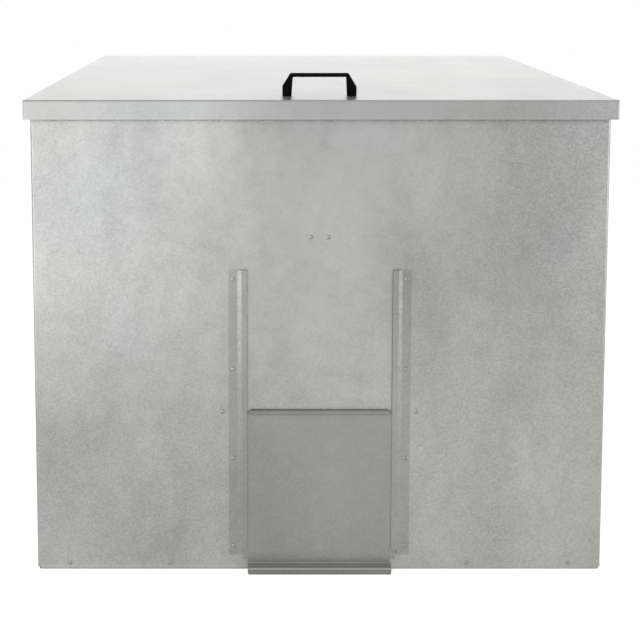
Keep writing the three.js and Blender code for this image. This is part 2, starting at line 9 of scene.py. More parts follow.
import bpy
import numpy as np
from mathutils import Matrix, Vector


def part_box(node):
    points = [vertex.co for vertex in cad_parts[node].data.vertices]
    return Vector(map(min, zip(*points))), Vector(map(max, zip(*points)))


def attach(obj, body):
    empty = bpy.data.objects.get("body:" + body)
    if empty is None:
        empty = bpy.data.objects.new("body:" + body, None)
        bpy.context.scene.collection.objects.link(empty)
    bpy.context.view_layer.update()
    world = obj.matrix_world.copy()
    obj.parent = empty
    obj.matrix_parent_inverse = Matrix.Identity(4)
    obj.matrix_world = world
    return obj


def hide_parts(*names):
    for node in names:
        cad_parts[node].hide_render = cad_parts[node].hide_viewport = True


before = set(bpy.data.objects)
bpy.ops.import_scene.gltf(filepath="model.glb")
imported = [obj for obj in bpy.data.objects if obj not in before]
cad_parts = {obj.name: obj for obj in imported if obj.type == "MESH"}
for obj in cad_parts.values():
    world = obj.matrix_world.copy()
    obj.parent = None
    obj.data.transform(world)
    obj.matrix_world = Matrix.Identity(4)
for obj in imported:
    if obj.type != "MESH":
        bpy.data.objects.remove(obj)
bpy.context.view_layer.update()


# Studio: a pale floor that runs into a white backdrop. Both show white to the camera and in the metal's
# reflections, while the floor is lit plainly enough to keep the bunker's shadow.
def linear(code):
    """Linear colour of an sRGB hex value: the low end is a straight line, the rest a power of 2.4."""
    parts = [int(code[i : i + 2], 16) / 255 for i in (0, 2, 4)]
    return [c / 12.92 if c <= 0.04045 else ((c + 0.055) / 1.055) ** 2.4 for c in parts] + [1]


def add(tree, kind, inputs=None, **settings):
    """Adds a node with its settings, and gives each named input a value or a link."""
    node = tree.nodes.new("ShaderNode" + kind)
    for name, value in settings.items():
        setattr(node, name, value)
    for key, value in (inputs or {}).items():
        if isinstance(value, bpy.types.NodeSocket):
            tree.links.new(value, node.inputs[key])
        else:
            node.inputs[key].default_value = value
    return node


def new_material(name):
    """An empty node material and its output node."""
    material = bpy.data.materials.new(name)
    material.use_nodes = True
    material.node_tree.nodes.clear()
    return material, add(material.node_tree, "OutputMaterial")


def seen_ray(tree):
    """1 on rays that the camera, a reflection or a see-through surface sends, 0 on the rest."""
    ray = add(tree, "LightPath").outputs
    seen = add(tree, "Math", {0: ray["Is Camera Ray"], 1: ray["Is Glossy Ray"]}, operation="MAXIMUM")
    seen = add(tree, "Math", {0: seen.outputs[0], 1: ray["Is Transmission Ray"]}, operation="MAXIMUM")
    return seen.outputs[0]


FLOOR_PAINT = "e8e8e7"
FLOOR_LIGHT = "fffffa"
FLOOR_GLOW = 0.7
FLOOR_REACH = 12
WORLD_FILL = 0.42

floor_material, floor_output = new_material("matt white floor paint")
floor_tree = floor_material.node_tree
floor_glow = add(floor_tree, "Math", {0: seen_ray(floor_tree), 1: FLOOR_GLOW}, operation="MULTIPLY")
floor_paint = add(
    floor_tree,
    "BsdfPrincipled",
    {
        "Base Color": linear(FLOOR_PAINT),
        "Roughness": 0.9,
        "Specular IOR Level": 0.1,
        "Emission Color": linear(FLOOR_LIGHT),
        "Emission Strength": floor_glow.outputs[0],
    },
)
floor_tree.links.new(floor_paint.outputs[0], floor_output.inputs[0])
floor_mesh = bpy.data.meshes.new("floor")
floor_corners = [(x * FLOOR_REACH, y * FLOOR_REACH, 0) for x, y in ((-1, -1), (1, -1), (1, 1), (-1, 1))]
floor_mesh.from_pydata(floor_corners, [], [(0, 1, 2, 3)])
floor_mesh.materials.append(floor_material)
floor = bpy.data.objects.new("floor", floor_mesh)
bpy.context.scene.collection.objects.link(floor)

world = bpy.data.worlds.new("white studio")
bpy.context.scene.world = world
world.use_nodes = True
world_tree = world.node_tree
world_tree.nodes.clear()
world_share = {"Value": seen_ray(world_tree), "To Min": WORLD_FILL, "To Max": 1.0}
world_strength = add(world_tree, "MapRange", world_share).outputs[0]
world_light = add(world_tree, "Background", {"Color": linear("ffffff"), "Strength": world_strength})
add(world_tree, "OutputWorld", {"Surface": world_light.outputs[0]})


def softbox(name, place, target, width, height, power, tint="ffffff"):
    """A rectangular lamp at a place, in metres, turned to face a target."""
    lamp = bpy.data.lights.new(name, "AREA")
    lamp.color = linear(tint)[:3]
    lamp.shape = "RECTANGLE"
    lamp.size, lamp.size_y = width, height
    lamp.energy = power
    holder = bpy.data.objects.new(name, lamp)
    bpy.context.scene.collection.objects.link(holder)
    holder.location = place
    holder.rotation_euler = (Vector(target) - Vector(place)).to_track_quat("-Z", "Y").to_euler()
    return holder


# The key stands left of the camera, two softboxes at the sides light the folds of the rails and the round
# corners, a small card adds a little light high on the right, and the top one stands behind the bunker and
# whitens the lid. They are broad and weak, so that the zinc doesn't clip to white where it mirrors them.
lamps = [
    softbox("key softbox", (-1.12, -2.75, 0.95), (-0.2, -0.4, 0.55), 2.2, 1.6, 17.5, "fafcff"),
    softbox("left softbox", (-2.2, -1.95, 0.62), (0.0, -0.4, 0.4), 1.1, 1.5, 13.5),
    softbox("right softbox", (2.35, -1.55, 0.72), (0.0, -0.4, 0.4), 1.8, 1.5, 13.5),
    softbox("right card", (1.95, -1.9, 1.2), (0.45, 0.0, 0.8), 0.4, 0.5, 2.6),
    softbox("top softbox", (0.0, 2.7, 2.1), (0.0, 0.0, 0.88), 4.4, 1.4, 22),
]

# The camera stands left of the middle, a little below the lid's front edge, and looks slightly down. The
# shift brings the bunker to its place in the frame.
CAMERA_PITCH = 4
camera_data = bpy.data.cameras.new("photo camera")
camera_data.sensor_width = 36
camera_data.lens = 52.21
camera_data.shift_x = 0.0804
camera_data.shift_y = -0.193
camera_data.clip_end = 100
camera = bpy.data.objects.new("photo camera", camera_data)
bpy.context.scene.collection.objects.link(camera)
camera.location = (-0.0895, -1.9835, 0.7769)
camera.rotation_euler = (math.radians(90 - CAMERA_PITCH), 0, 0)
bpy.context.scene.camera = camera
bpy.context.scene.view_settings.view_transform = "Standard"


# Floor tray: 1.2 mm galvanised sheet with four walls folded up and a tongue at the hatch. It slips up
# inside the panels and is riveted to them through its walls.
SHEET = 1.2
INSIDE_BEND = 1.5
BEND_RADIUS = INSIDE_BEND + SHEET / 2
BEND_STEPS = 6
BODY_WIDTH = 1000
BODY_DEPTH = 780
FRONT_TOP, REAR_TOP = 831, 968
TRAY_WALL_TOP = 25
TRAY_GAP_HALF = 125
TONGUE_HALF = 116.5
front_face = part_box("front_panel")[0].y * 1000
slope = (REAR_TOP - FRONT_TOP) / BODY_DEPTH


def fold(corners, thickness, pitch=24.0, marks=(), inside=INSIDE_BEND):
    """Mid line of a folded strip: straight runs joined by round bends of the inside radius plus half the
    thickness. Points stand at most a pitch apart, and one stands at each mark, an axis and its value, in
    place of any point within 1 mm of it."""
    corners = np.array(corners, float)
    radius = inside + thickness / 2
    points = [corners[0]]
    for i, corner in enumerate(corners[1:], 1):
        start = points[-1]
        before = (corner - corners[i - 1]) / np.linalg.norm(corner - corners[i - 1])
        turn = 0.0
        last = i == len(corners) - 1
        if not last:
            after = (corners[i + 1] - corner) / np.linalg.norm(corners[i + 1] - corner)
            turn = math.atan2(before[0] * after[1] - before[1] * after[0], before @ after)
        stop = corner - before * radius * math.tan(abs(turn) / 2)
        run = stop - start
        length = np.linalg.norm(run)
        shares = np.linspace(0, 1, max(1, math.ceil(length / pitch)) + 1)
        for axis, value in marks:
            if abs(run[axis]) > 1e-6 and 0 < (value - start[axis]) / run[axis] < 1:
                share = (value - start[axis]) / run[axis]
                shares = np.append(shares[np.abs(shares - share) * length > 1], share)
        points += [start + run * share for share in np.sort(shares) if share > 0]
        if not last:
            centre = stop + math.copysign(radius, turn) * np.array([-before[1], before[0]])
            for angle in turn * np.arange(1, BEND_STEPS + 1) / BEND_STEPS:
                c, s = math.cos(angle), math.sin(angle)
                points.append(centre + np.array([[c, -s], [s, c]]) @ (stop - centre))
    return np.array(points)


def stations(low, high, pitch=24.0, marks=()):
    """Numbers from low to high, at most a pitch apart, with one at each mark."""
    line = fold([(low, 0), (high, 0)], SHEET, pitch, [(0, mark) for mark in marks])
    return line[:, 0]


def unit(vectors):
    """The vectors at length 1."""
    return vectors / np.maximum(np.linalg.norm(vectors, axis=-1, keepdims=True), 1e-12)


def middles(grid):
    """The middle of each cell of a grid of numbers."""
    return (grid[:-1, :-1] + grid[1:, :-1] + grid[:-1, 1:] + grid[1:, 1:]) / 4


def mesh_piece(name, places, faces, normals, material, body, nodes=(), slot=None):
    """A smooth mesh object from places in millimetres, with a normal at each face corner."""
    places = np.asarray(places, float) + (0, front_face, 0)
    mesh = bpy.data.meshes.new(name)
    mesh.from_pydata(places / 1000, [], faces)
    mesh.shade_smooth()
    mesh.normals_split_custom_set(normals)
    mesh.materials.append(material)
    piece = bpy.data.objects.new(name, mesh)
    bpy.context.scene.collection.objects.link(piece)
    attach(piece, body)
    if nodes:
        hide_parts(*nodes)
    return piece


def sheet_metal(name, grids, thickness, *finish):
    """Closed bodies of sheet metal from mid surfaces, each a grid of places and its kept cells. The two
    faces stand half a thickness off along the normal, the cross product of the grid's two directions,
    and a wall closes each edge that only one kept cell has."""
    places, faces, normals = [], [], []
    start = 0
    for middle, kept in grids:
        normal = unit(np.cross(np.gradient(middle, axis=0), np.gradient(middle, axis=1)))
        rows, columns = middle.shape[:2]
        index = np.arange(rows * columns).reshape(rows, columns)
        both = np.concatenate([middle + normal * thickness / 2, middle - normal * thickness / 2])
        both = both.reshape(-1, 3)
        flat_normal = normal.reshape(-1, 3)
        quad = np.stack([index[:-1, :-1], index[1:, :-1], index[1:, 1:], index[:-1, 1:]], axis=-1)[kept]
        under = rows * columns
        edge = np.stack([quad, np.roll(quad, -1, axis=1)], axis=-1).reshape(-1, 2)
        key = edge.min(axis=1) * under + edge.max(axis=1)
        _, where, count = np.unique(key, return_index=True, return_counts=True)
        a, b = edge[where[count == 1]].T
        wall = np.stack([a, a + under, b + under, b], axis=-1)
        wall_normal = unit(np.cross(both[a + under] - both[a], both[b] - both[a]))
        all_faces = np.concatenate([quad, quad[:, ::-1] + under, wall])
        wall_normals = np.repeat(wall_normal[:, None], 4, axis=1)
        corner_normals = [flat_normal[quad], -flat_normal[quad[:, ::-1]], wall_normals]
        used, packed = np.unique(all_faces, return_inverse=True)
        places.append(both[used])
        faces.append(packed.reshape(-1, 4) + start)
        normals.append(np.concatenate(corner_normals).reshape(-1, 3))
        start += len(used)
    places, faces, normals = (np.concatenate(part) for part in (places, faces, normals))
    return mesh_piece(name, places, faces, normals, *finish)


# Hot-dip galvanised steel, skin-passed: a bright satin grey whose zinc crystals differ in tone and tilt
# and so glint one by one. They are about 1 mm across, and are drawn at 2.4 mm so that they show. Soft
# clouds, longer up and down the sheet, come from uneven cooling, and a film of oxide turns the hue from
# cool to warm over wide areas.
SPANGLE_MM = 2.4
SPANGLE_TONE = 0.21
SPANGLE_GLOSS = 0.05
SPANGLE_TILT = 0.08
RAGGED_MM = 6.0
RAGGED_REACH_MM = 1.2
CLOUD_MM = 170.0
CLOUD_STRETCH = 0.45
CLOUD_TONE = (0.15, 0.8)
PATCH_MM = 28.0
PATCH_TONE = (-0.12, 0.12)
FILM_MM = 320.0
FILM_MIDDLE = (0.35, 0.65)
FILM_COOL, FILM_WARM = "fdfdff", "fffffb"
NOISE_MIDDLE = (0.3, 0.7)
# Painted highlight on a ledge's top: a lighter grey in a thin band at the top face, standing for light the
# face catches.
PAINTED_LEDGE_LIGHT = "a4a4a2"
PAINTED_LIGHT_DROP, PAINTED_LIGHT_HALF = 0.6, 0.7
# Painted shade below a ledge's top: a dark grey mixed in more towards the foot, standing for the shadowed
# floor the face mirrors.
PAINTED_LEDGE_SHADE = "4c4b49"
SHADE_TOP_DROP, SHADE_FULL_DROP = 1, 4
SHADE_COVER = 0.4


def galvanised(name, light, dark, roughness, metallic=0.85, ledge_top=0.0):
    """Zinc-coated steel between two greys. A ledge's top, at a height in millimetres, gets a painted
    highlight, and below it the grey darkens towards the foot as painted shade."""
    material, output = new_material(name)
    tree = material.node_tree
    place = add(tree, "TexCoord").outputs["Object"]

    # Crystals: cells whose edges are made ragged by a small noise.
    ragged = add(tree, "TexNoise", {"Vector": place, "Scale": 1000 / RAGGED_MM, "Detail": 2.0})
    reach = {0: ragged.outputs["Color"], "Scale": RAGGED_REACH_MM / 1000}
    shift = add(tree, "VectorMath", reach, operation="SCALE")
    shifted = add(tree, "VectorMath", {0: place, 1: shift.outputs[0]}, operation="ADD")
    crystal = add(tree, "TexVoronoi", {"Vector": shifted.outputs[0], "Scale": 1000 / SPANGLE_MM})
    crystal_tone = add(tree, "SeparateColor", {0: crystal.outputs["Color"]}).outputs

    # Tone: the share of the lighter grey is the sum of what clouds, patches and crystals give.
    drawn_out = add(tree, "VectorMath", {0: place, 1: (1.0, 1.0, CLOUD_STRETCH)}, operation="MULTIPLY")
    cloud_grain = {"Vector": drawn_out.outputs[0], "Scale": 1000 / CLOUD_MM, "Detail": 2.0}
    cloud = add(tree, "TexNoise", {**cloud_grain, "Roughness": 0.5})
    patch_grain = {"Vector": place, "Scale": 1000 / PATCH_MM, "Detail": 4.0}
    patch = add(tree, "TexNoise", {**patch_grain, "Roughness": 0.6})
    shares = []
    for source, (least, most), (low, high) in (
        (cloud.outputs[0], NOISE_MIDDLE, CLOUD_TONE),
        (patch.outputs[0], NOISE_MIDDLE, PATCH_TONE),
        (crystal_tone[0], (0.0, 1.0), (-SPANGLE_TONE, SPANGLE_TONE)),
    ):
        reach = {"Value": source, "From Min": least, "From Max": most, "To Min": low, "To Max": high}
        shares.append(add(tree, "MapRange", reach).outputs[0])
    tone = add(tree, "Math", {0: shares[0], 1: shares[1]}, operation="ADD")
    tone = add(tree, "Math", {0: tone.outputs[0], 1: shares[2]}, operation="ADD")
    greys = {"Factor": tone.outputs[0], "A": linear(dark), "B": linear(light)}
    base = add(tree, "Mix", greys, data_type="RGBA").outputs["Result"]

    # Hue: the oxide film tints the greys.
    film = add(tree, "TexNoise", {"Vector": place, "Scale": 1000 / FILM_MM, "Detail": 1.0})
    least, most = FILM_MIDDLE
    film_share = add(tree, "MapRange", {"Value": film.outputs[0], "From Min": least, "From Max": most})
    hues = {"Factor": film_share.outputs[0], "A": linear(FILM_COOL), "B": linear(FILM_WARM)}
    film_hue = add(tree, "Mix", hues, data_type="RGBA").outputs["Result"]
    tinted = {"Factor": 1.0, "A": base, "B": film_hue}
    base = add(tree, "Mix", tinted, data_type="RGBA", blend_type="MULTIPLY").outputs["Result"]

    # Painted light on the ledge: a lighter band at its top, and painted shade that darkens the grey below
    # it.
    if ledge_top:
        height = add(tree, "SeparateXYZ", {0: place}).outputs[2]
        band = {0: height, 1: (ledge_top - PAINTED_LIGHT_DROP) / 1000, 2: PAINTED_LIGHT_HALF / 1000}
        painted_light_band = add(tree, "Math", band, operation="COMPARE")
        # Painted shade: below the top, the grey is darkened towards the foot.
        shade_top, shade_full = ((ledge_top - drop) / 1000 for drop in (SHADE_TOP_DROP, SHADE_FULL_DROP))
        fall = {"Value": height, "From Min": shade_top, "From Max": shade_full, "To Max": SHADE_COVER}
        painted_shade = add(tree, "MapRange", fall)
        for share, cover in ((painted_light_band, PAINTED_LEDGE_LIGHT), (painted_shade, PAINTED_LEDGE_SHADE)):
            covered = {"Factor": share.outputs[0], "A": base, "B": linear(cover)}
            base = add(tree, "Mix", covered, data_type="RGBA").outputs["Result"]

    # Gloss and glint: each crystal has a roughness and a small tilt of its own.
    polish = {"To Min": roughness - SPANGLE_GLOSS, "To Max": roughness + SPANGLE_GLOSS}
    gloss = add(tree, "MapRange", {"Value": crystal_tone[1], **polish})
    surface = add(tree, "NewGeometry")
    lean = {0: crystal.outputs["Color"], 1: (0.5, 0.5, 0.5)}
    tilt = add(tree, "VectorMath", lean, operation="SUBTRACT")
    tilt = add(tree, "VectorMath", {0: tilt.outputs[0], "Scale": SPANGLE_TILT}, operation="SCALE")
    facing = {0: surface.outputs["Normal"], 1: tilt.outputs[0]}
    facing = add(tree, "VectorMath", facing, operation="ADD")
    facing = add(tree, "VectorMath", {0: facing.outputs[0]}, operation="NORMALIZE")
    metal = add(
        tree,
        "BsdfPrincipled",
        {
            "Base Color": base,
            "Metallic": metallic,
            "Roughness": gloss.outputs[0],
            "Normal": facing.outputs[0],
        },
    )
    tree.links.new(metal.outputs[0], output.inputs[0])
    return material


sheet_zinc = galvanised("skin-passed galvanised steel", "acacab", "8c8c8b", 0.38)


def tray_floor():
    """The lengthwise section runs along y and z, the cross section adds its own rise over x. The walls
    stand inside the laps and the side panels, and the front wall is open at the hatch."""
    level = SHEET / 2
    wall_x = BODY_WIDTH / 2 - 2.5 * SHEET
    near, far = 1.5 * SHEET, BODY_DEPTH - 1.5 * SHEET
    corners = [(near, TRAY_WALL_TOP), (near, level), (far, level), (far, TRAY_WALL_TOP)]
    lengthwise = fold(corners, SHEET, 40)
    corners = [(-wall_x, TRAY_WALL_TOP), (-wall_x, level), (wall_x, level), (wall_x, TRAY_WALL_TOP)]
    marks = [(0, mark) for mark in (-TRAY_GAP_HALF, -TONGUE_HALF, TONGUE_HALF, TRAY_GAP_HALF)]
    across = fold(corners, SHEET, 40, marks)
    y, x = np.meshgrid(lengthwise[:, 0], across[:, 0], indexing="ij")
    rise_y, rise_x = np.meshgrid(lengthwise[:, 1], across[:, 1], indexing="ij")
    middle = np.stack([x, y, rise_y + rise_x - level], axis=-1)
    mid_x, mid_y = middles(x), middles(y)
    flat_x = np.abs(mid_x) < wall_x - BEND_RADIUS
    flat_y = (mid_y > near + BEND_RADIUS) & (mid_y < far - BEND_RADIUS)
    hatch_side = (np.abs(mid_x) < TRAY_GAP_HALF) & (mid_y < near + BEND_RADIUS)
    tongue_run, tongue_width = stations(0, near + BEND_RADIUS), stations(-TONGUE_HALF, TONGUE_HALF)
    tongue_y, tongue_x = np.meshgrid(tongue_run, tongue_width, indexing="ij")
    tongue = np.stack([tongue_x, tongue_y, np.full_like(tongue_x, level)], axis=-1)
    return [
        (middle, (flat_x | flat_y) & ~hatch_side),
        (tongue, np.ones((len(tongue) - 1, tongue.shape[1] - 1), bool)),
    ]


sheet_metal(
    "floor_tray_folded", tray_floor(), SHEET, sheet_zinc, "box", ("floor_tray",), "galvanised_sheet"
)


# Back panel: one sheet of the same steel, its sides folded forward as laps outside the side panels and
# its top folded forward as a rim under the lid. Rivets join it to the side panels and the tray.
CORNER_BEND = 3.5
LAP = 25
RIM_DEPTH = 17.4
PANEL_FOOT = 4
HEM_STEP = 0.35
HEM_EDGE, HEM_TOP = 6.5, 8
CORNER_CLIP_X, CORNER_CLIP_RISE = 492, 7
OPENING_TOP = 270
BACK_TOP = 934.9
BACK_RIM_HALF = 495
WAVE_COUNT = 8
WAVE_LENGTHS = (180, 520)
WAVE_FOOT, WAVE_FADE = 30, 110


def rolling_waves(across, along, seed, height):
    """Faint waves that sheet keeps from rolling and folding: the mean of cosines whose directions, lengths
    and phases come from a seed, times a height."""
    draw = np.random.default_rng(seed)
    turn = draw.uniform(0, math.pi, WAVE_COUNT)
    length = draw.uniform(*WAVE_LENGTHS, WAVE_COUNT)
    phase = draw.uniform(0, 6.28, WAVE_COUNT)
    travel = across[..., None] * np.cos(turn) + along[..., None] * np.sin(turn)
    return height * np.cos(2 * math.pi * travel / length + phase).mean(axis=-1)


def fade(values, low, high, width):
    """0 at both ends of a range, rising smoothly to 1 over a width."""
    near = np.clip(np.minimum(values - low, high - values) / width, 0, 1)
    return near * near * (3 - 2 * near)


def walled_panel(face_y, inward, top_z, rim_half, slant, marks, seed):
    """A plan fold round both corners, carried up a section that steps out a little where the foot is
    hemmed and turns inwards at the rim. Faint waves die out near the middle, the corners, the foot and
    the rim, and the foot's two corners are clipped."""
    wall_x = BODY_WIDTH / 2 - SHEET / 2
    wall_y = face_y + inward * SHEET / 2
    lap_y = face_y + inward * LAP
    plan = [(-wall_x, lap_y), (-wall_x, wall_y), (wall_x, wall_y), (wall_x, lap_y)]
    plan = fold(plan, SHEET, 20, marks, CORNER_BEND)
    hem = [(-HEM_STEP, PANEL_FOOT), (-HEM_STEP, HEM_EDGE), (0, HEM_TOP)]
    section = fold([*hem, (0, top_z), (RIM_DEPTH, top_z)], SHEET, 20, [(1, OPENING_TOP)])
    heading = unit(np.gradient(plan, axis=0))
    inner = np.stack([-heading[:, 1], heading[:, 0]], axis=-1) * inward
    flat = plan[None] + section[:, :1, None] * inner[None]
    x, y = flat[..., 0], flat[..., 1]
    height = np.broadcast_to(section[:, 1:], x.shape)
    share = np.clip((height - HEM_TOP) / (top_z - HEM_TOP), 0, 1)
    waves = rolling_waves(x, height, seed, 2.0)
    waves *= fade(np.abs(x), 175, 490, 90) * fade(height, WAVE_FOOT, top_z, WAVE_FADE)
    clip = np.clip(np.abs(x) - CORNER_CLIP_X, 0, CORNER_CLIP_RISE) * (height < PANEL_FOOT + 1)
    middle = np.stack([x, y + waves, height + clip + slant * y * share], axis=-1)
    rim = middles(height) > top_z - BEND_RADIUS
    return middle, ~(rim & (np.abs(middles(x)) > rim_half))


back_marks = [(0, mark) for mark in (-BACK_RIM_HALF, BACK_RIM_HALF, -CORNER_CLIP_X, CORNER_CLIP_X)]
back_grid = walled_panel(BODY_DEPTH, -1, BACK_TOP, BACK_RIM_HALF, 0, back_marks, 5)
sheet_metal(
    "back_panel_folded", [back_grid], SHEET, sheet_zinc, "box", ("back_panel",), "galvanised_sheet"
)


# Side panels: flat sheets of the same steel, riveted inside the corner laps, each with its sloping top
# edge folded inwards as a rim.
PANEL_TOP = FRONT_TOP - SHEET / 2
SIDE_RIM_EDGE = 480.8
SIDE_PLAY = 2.7
SIDE_WALL = 824


def side_panel(side):
    """A section from the foot to the rim, carried back and raised with the slope."""
    wall_x = side * (BODY_WIDTH / 2 - 1.5 * SHEET)
    corners = [(wall_x, PANEL_FOOT), (wall_x, PANEL_TOP), (side * SIDE_RIM_EDGE, PANEL_TOP)]
    section = fold(corners, SHEET, 20)
    y, x = np.meshgrid(stations(SIDE_PLAY, BODY_DEPTH - SIDE_PLAY, 20), section[:, 0], indexing="ij")
    height = np.broadcast_to(section[:, 1], y.shape)
    share = np.clip((height - PANEL_FOOT) / SIDE_WALL, 0, 1)
    waves = rolling_waves(y, height, 11 + side, 1.4) * fade(y, 30, 750, WAVE_FADE)
    waves = waves * fade(height, WAVE_FOOT, PANEL_FOOT + SIDE_WALL, WAVE_FADE)
    middle = np.stack([x + waves, y, height + slope * y * share], axis=-1)
    return middle, np.ones((len(y) - 1, len(section) - 1), bool)


for name, side in (("left", -1), ("right", 1)):
    sheet_metal(
        f"{name}_side_panel_folded",
        [side_panel(side)],
        SHEET,
        sheet_zinc,
        "box",
        (f"{name}_side_panel",),
        "galvanised_sheet",
    )


# Front panel: one sheet of the same steel with rounded upright corners, laps folded back at both sides,
# a rim folded back at the top and the hatch opening cut up from its foot.
OPENING_HALF = 118
FRONT_RIM_HALF = 479.8


def front_panel():
    """The walled panel, less the cells of the hatch opening."""
    places = (CORNER_CLIP_X, FRONT_RIM_HALF, OPENING_HALF)
    marks = [(0, sign * mark) for mark in places for sign in (-1, 1)]
    middle, kept = walled_panel(0, 1, PANEL_TOP, FRONT_RIM_HALF, slope, marks, 3)
    opening = (np.abs(middles(middle[..., 0])) < OPENING_HALF) & (middles(middle[..., 2]) < OPENING_TOP)
    return middle, kept & ~opening


sheet_metal(
    "front_panel_folded", [front_panel()], SHEET, sheet_zinc, "box", ("front_panel",), "galvanised_sheet"
)


# Lintel and tie bar: 1.5 mm galvanised strips, folded to an angle and to a channel with a foot at each
# end. Riveted inside, they stiffen the front over the hatch and hold the front and back together.
STRIP = 1.5
BEHIND_FRONT = SHEET + STRIP / 2
LINTEL_FOOT, LINTEL_TOP = 272, 299.25
LINTEL_REACH, LINTEL_HALF = 29.2, 190
TIE_FOOT, TIE_TOP, TIE_HALF = 567.25, 579.25, 22.25
TIE_TAB_FOOT, TIE_TAB_TOP, TIE_TAB_HALF = 580, 608, 20.3


def strip(corners, thickness, low, high, axis):
    """A section in two axes, carried along the third."""
    section = fold(corners, thickness)
    run, u = np.meshgrid(stations(low, high), section[:, 0], indexing="ij")
    v = np.broadcast_to(section[:, 1], run.shape)
    middle = np.stack({"x": [run, u, v], "y": [u, run, v], "z": [u, v, run]}[axis], axis=-1)
    return middle, np.ones((len(run) - 1, len(section) - 1), bool)


angle = [(BEHIND_FRONT, LINTEL_FOOT), (BEHIND_FRONT, LINTEL_TOP), (LINTEL_REACH, LINTEL_TOP)]
sheet_metal(
    "hatch_lintel_angle",
    [strip(angle, STRIP, -LINTEL_HALF, LINTEL_HALF, "x")],
    STRIP,
    sheet_zinc,
    "box",
    ("hatch_lintel",),
    "galvanised_sheet",
)
channel = [(-TIE_HALF, TIE_FOOT), (-TIE_HALF, TIE_TOP), (TIE_HALF, TIE_TOP), (TIE_HALF, TIE_FOOT)]
tie_tabs = [
    strip([(-TIE_TAB_HALF, y), (TIE_TAB_HALF, y)], STRIP, TIE_TAB_FOOT, TIE_TAB_TOP, "z")
    for y in (BEHIND_FRONT, BODY_DEPTH - BEHIND_FRONT)
]
sheet_metal(
    "tie_bar_channel",
    [strip(channel, STRIP, SHEET, BODY_DEPTH - SHEET, "y"), *tie_tabs],
    STRIP,
    sheet_zinc,
    "box",
    ("tie_bar",),
    "galvanised_sheet",
)


# Guide rails: joggled strips of the same galvanised sheet, riveted flat to the front, whose raised lips
# hold the edges of the hatch plate. The lip is cut short at the foot.
rail_zinc = galvanised("galvanised steel strip", "999998", "82827f", 0.34)
RAIL_FOOT, LIP_FOOT, RAIL_TOP = 28, 38, 537
LIP_EDGE, LIP_BEND, FLANGE_BEND, FLANGE_EDGE = 127, 136.5, 143.5, 159
LIP_Y, FLANGE_Y = -3.7, -SHEET / 2


def guide_rail(side):
    """The joggled section carried up the front, less the lip below its foot."""
    corners = [(LIP_EDGE, LIP_Y), (LIP_BEND, LIP_Y), (FLANGE_BEND, FLANGE_Y), (FLANGE_EDGE, FLANGE_Y)]
    section = fold([(side * x, y) for x, y in corners], SHEET, 6)
    z, x = np.meshgrid(stations(RAIL_FOOT, RAIL_TOP, 24, [LIP_FOOT]), section[:, 0], indexing="ij")
    y = np.broadcast_to(section[:, 1], z.shape)
    lip = (np.abs(middles(x)) < LIP_BEND) & (middles(z) < LIP_FOOT)
    return np.stack([x, y, z], axis=-1), ~lip


for name, side in (("left", -1), ("right", 1)):
    sheet_metal(
        f"{name}_guide_rail_joggled",
        [guide_rail(side)],
        SHEET,
        rail_zinc,
        "box",
        (f"{name}_guide_rail",),
        "galvanised_sheet",
    )


# Blind rivets: 4 mm aluminium with an 8 mm domed head. The steel mandrel's broken end sits in the middle
# of the head, and the tail is swollen where it was pulled.
def bright_metal(name, light, dark, roughness, mottle_mm):
    """Metal between two greys, whose tone and polish vary together in spots of a size in millimetres."""
    material, output = new_material(name)
    tree = material.node_tree
    place = add(tree, "TexCoord").outputs["Object"]
    mottle = add(tree, "TexNoise", {"Vector": place, "Scale": 1000 / mottle_mm, "Detail": 3.0})
    least, most = NOISE_MIDDLE
    share = add(tree, "MapRange", {"Value": mottle.outputs[0], "From Min": least, "From Max": most})
    greys = {"Factor": share.outputs[0], "A": linear(dark), "B": linear(light)}
    colour = add(tree, "Mix", greys, data_type="RGBA").outputs["Result"]
    dull_to_bright = {"To Min": roughness + 0.06, "To Max": roughness - 0.04}
    polish = add(tree, "MapRange", {"Value": share.outputs[0], **dull_to_bright}).outputs[0]
    metal = add(tree, "BsdfPrincipled", {"Base Color": colour, "Metallic": 1.0, "Roughness": polish})
    tree.links.new(metal.outputs[0], output.inputs[0])
    return material


rivet_alloy = bright_metal("plain aluminium rivet", "98999c", "76777a", 0.19, 1.2)
TURN_STEPS = 28
SMOOTH_COSINE = 0.7
HEAD_RISE = 1.6
PANEL_GRIP, STRIP_GRIP = 2.4, 2.7
SEAM_RIVETS = 5
SEAM_START = 49
SEAM_FRONT_STOP, SEAM_REAR_STOP = 783, 885
SEAM_SINK = 0.8


